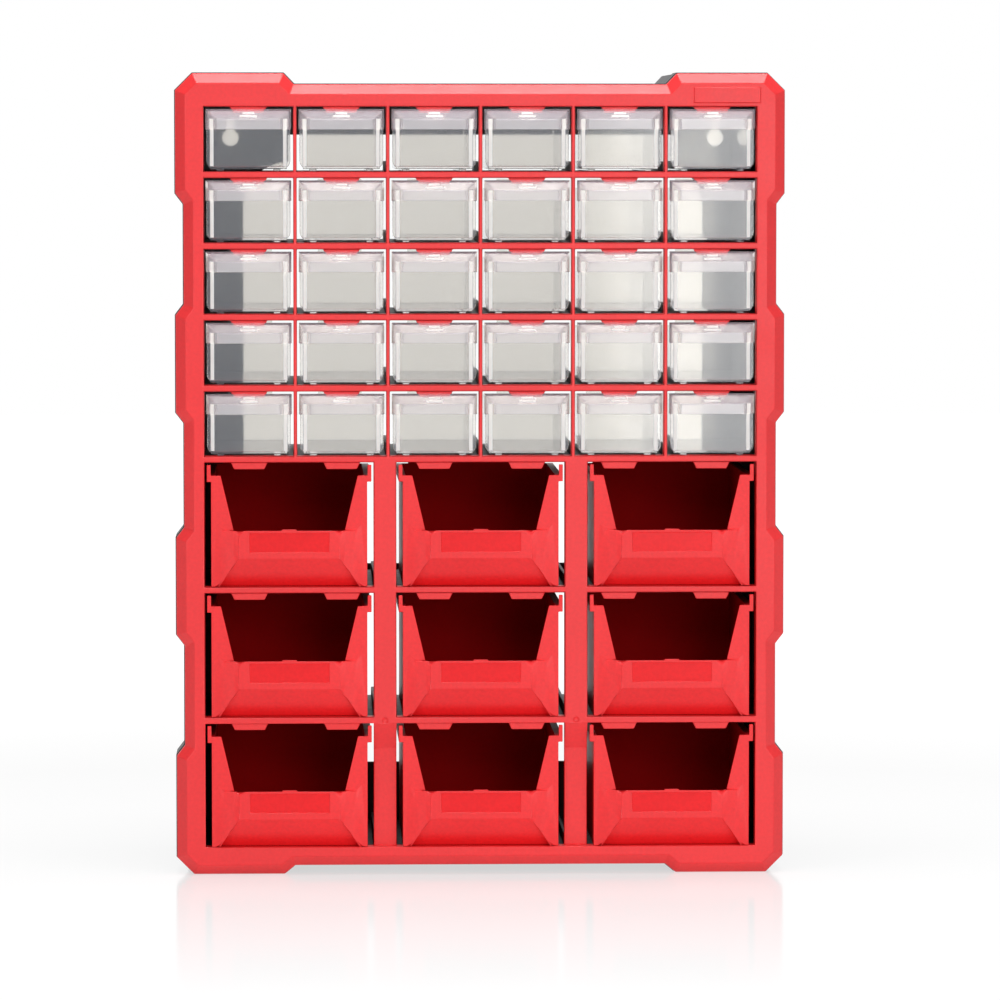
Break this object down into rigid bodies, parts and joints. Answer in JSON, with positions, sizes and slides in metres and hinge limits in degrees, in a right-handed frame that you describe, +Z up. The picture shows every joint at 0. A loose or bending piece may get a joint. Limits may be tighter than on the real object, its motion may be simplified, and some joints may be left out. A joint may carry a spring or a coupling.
{
  "type": "parts bin cabinet",
  "caption": "Moulded parts cabinet with small clear drawers above open-front hopper bins, in a padded front frame and a dark rear tub.",
  "frame": {"origin": "bottom centre of the cabinet's bounding box, on the surface it stands on", "axes": "+Z up; the front with the drawers faces -Y; +X is to the right seen from the front"},
  "size_m": [0.3762, 0.16, 0.4946],
  "materials": {
    "frame_red": "lightly textured red plastic",
    "bin_red": "satin red plastic",
    "drawer_clear": "clear glossy plastic",
    "tub_charcoal": "matte charcoal plastic"
  },
  "bodies": {
    "cabinet": {"bezel_left": "frame_red", "bezel_right": "frame_red", "bezel_top": "frame_red", "bezel_bottom": "frame_red", "rail_1": "frame_red", "rail_2": "frame_red", "rail_3": "frame_red", "rail_4": "frame_red", "rail_5": "frame_red", "rail_6": "frame_red", "rail_7": "frame_red", "stop_tabs": "frame_red", "drawer_dividers": "frame_red", "bin_columns": "frame_red", "tub_left": "tub_charcoal", "tub_right": "tub_charcoal", "tub_top": "tub_charcoal", "tub_bottom": "tub_charcoal", "tub_back": "tub_charcoal", "drawer_shelves": "tub_charcoal", "bin_shelves": "tub_charcoal"},
    "drawer_r1_c1_body": {"drawer_r1_c1": "drawer_clear"},
    "drawer_r1_c2_body": {"drawer_r1_c2": "drawer_clear"},
    "drawer_r1_c3_body": {"drawer_r1_c3": "drawer_clear"},
    "drawer_r1_c4_body": {"drawer_r1_c4": "drawer_clear"},
    "drawer_r1_c5_body": {"drawer_r1_c5": "drawer_clear"},
    "drawer_r1_c6_body": {"drawer_r1_c6": "drawer_clear"},
    "drawer_r2_c1_body": {"drawer_r2_c1": "drawer_clear"},
    "drawer_r2_c2_body": {"drawer_r2_c2": "drawer_clear"},
    "drawer_r2_c3_body": {"drawer_r2_c3": "drawer_clear"},
    "drawer_r2_c4_body": {"drawer_r2_c4": "drawer_clear"},
    "drawer_r2_c5_body": {"drawer_r2_c5": "drawer_clear"},
    "drawer_r2_c6_body": {"drawer_r2_c6": "drawer_clear"},
    "drawer_r3_c1_body": {"drawer_r3_c1": "drawer_clear"},
    "drawer_r3_c2_body": {"drawer_r3_c2": "drawer_clear"},
    "drawer_r3_c3_body": {"drawer_r3_c3": "drawer_clear"},
    "drawer_r3_c4_body": {"drawer_r3_c4": "drawer_clear"},
    "drawer_r3_c5_body": {"drawer_r3_c5": "drawer_clear"},
    "drawer_r3_c6_body": {"drawer_r3_c6": "drawer_clear"},
    "drawer_r4_c1_body": {"drawer_r4_c1": "drawer_clear"},
    "drawer_r4_c2_body": {"drawer_r4_c2": "drawer_clear"},
    "drawer_r4_c3_body": {"drawer_r4_c3": "drawer_clear"},
    "drawer_r4_c4_body": {"drawer_r4_c4": "drawer_clear"},
    "drawer_r4_c5_body": {"drawer_r4_c5": "drawer_clear"},
    "drawer_r4_c6_body": {"drawer_r4_c6": "drawer_clear"},
    "drawer_r5_c1_body": {"drawer_r5_c1": "drawer_clear"},
    "drawer_r5_c2_body": {"drawer_r5_c2": "drawer_clear"},
    "drawer_r5_c3_body": {"drawer_r5_c3": "drawer_clear"},
    "drawer_r5_c4_body": {"drawer_r5_c4": "drawer_clear"},
    "drawer_r5_c5_body": {"drawer_r5_c5": "drawer_clear"},
    "drawer_r5_c6_body": {"drawer_r5_c6": "drawer_clear"},
    "bin_r1_c1_body": {"bin_r1_c1": "bin_red"},
    "bin_r1_c2_body": {"bin_r1_c2": "bin_red"},
    "bin_r1_c3_body": {"bin_r1_c3": "bin_red"},
    "bin_r2_c1_body": {"bin_r2_c1": "bin_red"},
    "bin_r2_c2_body": {"bin_r2_c2": "bin_red"},
    "bin_r2_c3_body": {"bin_r2_c3": "bin_red"},
    "bin_r3_c1_body": {"bin_r3_c1": "bin_red"},
    "bin_r3_c2_body": {"bin_r3_c2": "bin_red"},
    "bin_r3_c3_body": {"bin_r3_c3": "bin_red"}
  },
  "joints": [
    {"name": "drawer_r1_c1_slide", "type": "slide", "parent": "cabinet", "child": "drawer_r1_c1_body", "axis": [0, -1, 0], "range_m": [0, 0.1296]},
    {"name": "drawer_r1_c2_slide", "type": "slide", "parent": "cabinet", "child": "drawer_r1_c2_body", "axis": [0, -1, 0], "range_m": [0, 0.1296]},
    {"name": "drawer_r1_c3_slide", "type": "slide", "parent": "cabinet", "child": "drawer_r1_c3_body", "axis": [0, -1, 0], "range_m": [0, 0.1296]},
    {"name": "drawer_r1_c4_slide", "type": "slide", "parent": "cabinet", "child": "drawer_r1_c4_body", "axis": [0, -1, 0], "range_m": [0, 0.1296]},
    {"name": "drawer_r1_c5_slide", "type": "slide", "parent": "cabinet", "child": "drawer_r1_c5_body", "axis": [0, -1, 0], "range_m": [0, 0.1296]},
    {"name": "drawer_r1_c6_slide", "type": "slide", "parent": "cabinet", "child": "drawer_r1_c6_body", "axis": [0, -1, 0], "range_m": [0, 0.1296]},
    {"name": "drawer_r2_c1_slide", "type": "slide", "parent": "cabinet", "child": "drawer_r2_c1_body", "axis": [0, -1, 0], "range_m": [0, 0.1296]},
    {"name": "drawer_r2_c2_slide", "type": "slide", "parent": "cabinet", "child": "drawer_r2_c2_body", "axis": [0, -1, 0], "range_m": [0, 0.1296]},
    {"name": "drawer_r2_c3_slide", "type": "slide", "parent": "cabinet", "child": "drawer_r2_c3_body", "axis": [0, -1, 0], "range_m": [0, 0.1296]},
    {"name": "drawer_r2_c4_slide", "type": "slide", "parent": "cabinet", "child": "drawer_r2_c4_body", "axis": [0, -1, 0], "range_m": [0, 0.1296]},
    {"name": "drawer_r2_c5_slide", "type": "slide", "parent": "cabinet", "child": "drawer_r2_c5_body", "axis": [0, -1, 0], "range_m": [0, 0.1296]},
    {"name": "drawer_r2_c6_slide", "type": "slide", "parent": "cabinet", "child": "drawer_r2_c6_body", "axis": [0, -1, 0], "range_m": [0, 0.1296]},
    {"name": "drawer_r3_c1_slide", "type": "slide", "parent": "cabinet", "child": "drawer_r3_c1_body", "axis": [0, -1, 0], "range_m": [0, 0.1296]},
    {"name": "drawer_r3_c2_slide", "type": "slide", "parent": "cabinet", "child": "drawer_r3_c2_body", "axis": [0, -1, 0], "range_m": [0, 0.1296]},
    {"name": "drawer_r3_c3_slide", "type": "slide", "parent": "cabinet", "child": "drawer_r3_c3_body", "axis": [0, -1, 0], "range_m": [0, 0.1296]},
    {"name": "drawer_r3_c4_slide", "type": "slide", "parent": "cabinet", "child": "drawer_r3_c4_body", "axis": [0, -1, 0], "range_m": [0, 0.1296]},
    {"name": "drawer_r3_c5_slide", "type": "slide", "parent": "cabinet", "child": "drawer_r3_c5_body", "axis": [0, -1, 0], "range_m": [0, 0.1296]},
    {"name": "drawer_r3_c6_slide", "type": "slide", "parent": "cabinet", "child": "drawer_r3_c6_body", "axis": [0, -1, 0], "range_m": [0, 0.1296]},
    {"name": "drawer_r4_c1_slide", "type": "slide", "parent": "cabinet", "child": "drawer_r4_c1_body", "axis": [0, -1, 0], "range_m": [0, 0.1296]},
    {"name": "drawer_r4_c2_slide", "type": "slide", "parent": "cabinet", "child": "drawer_r4_c2_body", "axis": [0, -1, 0], "range_m": [0, 0.1296]},
    {"name": "drawer_r4_c3_slide", "type": "slide", "parent": "cabinet", "child": "drawer_r4_c3_body", "axis": [0, -1, 0], "range_m": [0, 0.1296]},
    {"name": "drawer_r4_c4_slide", "type": "slide", "parent": "cabinet", "child": "drawer_r4_c4_body", "axis": [0, -1, 0], "range_m": [0, 0.1296]},
    {"name": "drawer_r4_c5_slide", "type": "slide", "parent": "cabinet", "child": "drawer_r4_c5_body", "axis": [0, -1, 0], "range_m": [0, 0.1296]},
    {"name": "drawer_r4_c6_slide", "type": "slide", "parent": "cabinet", "child": "drawer_r4_c6_body", "axis": [0, -1, 0], "range_m": [0, 0.1296]},
    {"name": "drawer_r5_c1_slide", "type": "slide", "parent": "cabinet", "child": "drawer_r5_c1_body", "axis": [0, -1, 0], "range_m": [0, 0.1296]},
    {"name": "drawer_r5_c2_slide", "type": "slide", "parent": "cabinet", "child": "drawer_r5_c2_body", "axis": [0, -1, 0], "range_m": [0, 0.1296]},
    {"name": "drawer_r5_c3_slide", "type": "slide", "parent": "cabinet", "child": "drawer_r5_c3_body", "axis": [0, -1, 0], "range_m": [0, 0.1296]},
    {"name": "drawer_r5_c4_slide", "type": "slide", "parent": "cabinet", "child": "drawer_r5_c4_body", "axis": [0, -1, 0], "range_m": [0, 0.1296]},
    {"name": "drawer_r5_c5_slide", "type": "slide", "parent": "cabinet", "child": "drawer_r5_c5_body", "axis": [0, -1, 0], "range_m": [0, 0.1296]},
    {"name": "drawer_r5_c6_slide", "type": "slide", "parent": "cabinet", "child": "drawer_r5_c6_body", "axis": [0, -1, 0], "range_m": [0, 0.1296]},
    {"name": "bin_r1_c1_slide", "type": "slide", "parent": "cabinet", "child": "bin_r1_c1_body", "axis": [0, -1, 0], "range_m": [0, 0.1296]},
    {"name": "bin_r1_c2_slide", "type": "slide", "parent": "cabinet", "child": "bin_r1_c2_body", "axis": [0, -1, 0], "range_m": [0, 0.1296]},
    {"name": "bin_r1_c3_slide", "type": "slide", "parent": "cabinet", "child": "bin_r1_c3_body", "axis": [0, -1, 0], "range_m": [0, 0.1296]},
    {"name": "bin_r2_c1_slide", "type": "slide", "parent": "cabinet", "child": "bin_r2_c1_body", "axis": [0, -1, 0], "range_m": [0, 0.1296]},
    {"name": "bin_r2_c2_slide", "type": "slide", "parent": "cabinet", "child": "bin_r2_c2_body", "axis": [0, -1, 0], "range_m": [0, 0.1296]},
    {"name": "bin_r2_c3_slide", "type": "slide", "parent": "cabinet", "child": "bin_r2_c3_body", "axis": [0, -1, 0], "range_m": [0, 0.1296]},
    {"name": "bin_r3_c1_slide", "type": "slide", "parent": "cabinet", "child": "bin_r3_c1_body", "axis": [0, -1, 0], "range_m": [0, 0.1296]},
    {"name": "bin_r3_c2_slide", "type": "slide", "parent": "cabinet", "child": "bin_r3_c2_body", "axis": [0, -1, 0], "range_m": [0, 0.1296]},
    {"name": "bin_r3_c3_slide", "type": "slide", "parent": "cabinet", "child": "bin_r3_c3_body", "axis": [0, -1, 0], "range_m": [0, 0.1296]}
  ]
}
